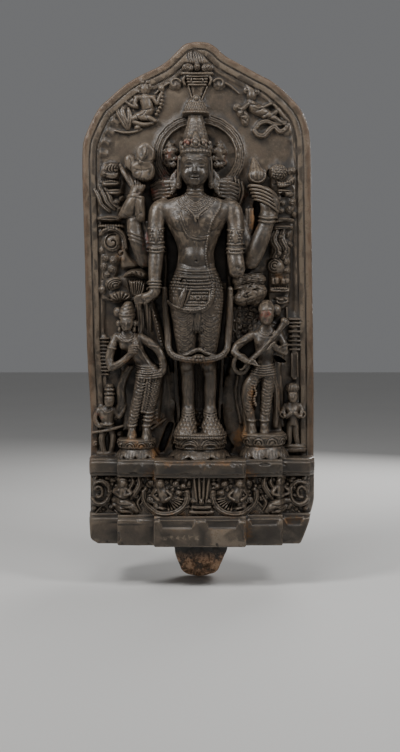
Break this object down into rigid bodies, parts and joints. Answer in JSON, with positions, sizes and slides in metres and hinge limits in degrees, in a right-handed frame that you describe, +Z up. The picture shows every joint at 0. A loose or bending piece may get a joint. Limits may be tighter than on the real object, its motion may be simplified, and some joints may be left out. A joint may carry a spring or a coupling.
{
  "type": "stone stele of a standing deity",
  "caption": "Black stone stele with a pointed arch top: a standing four-armed deity in high relief with attendants, on a stepped carved plinth with a tenon below.",
  "frame": {"origin": "on the flat underside of the plinth, in front of the tenon, in the middle of the plinth's width", "axes": "+Z up, the carved front faces -Y, +X to the viewer's right"},
  "size_m": [0.325, 0.113, 0.7511],
  "materials": {
    "stone": "hand-polished dark stone, worn and softly glossy on high points, with brown dirt in hollows"
  },
  "bodies": {
    "root": {"stele": "stone"}
  },
  "joints": []
}
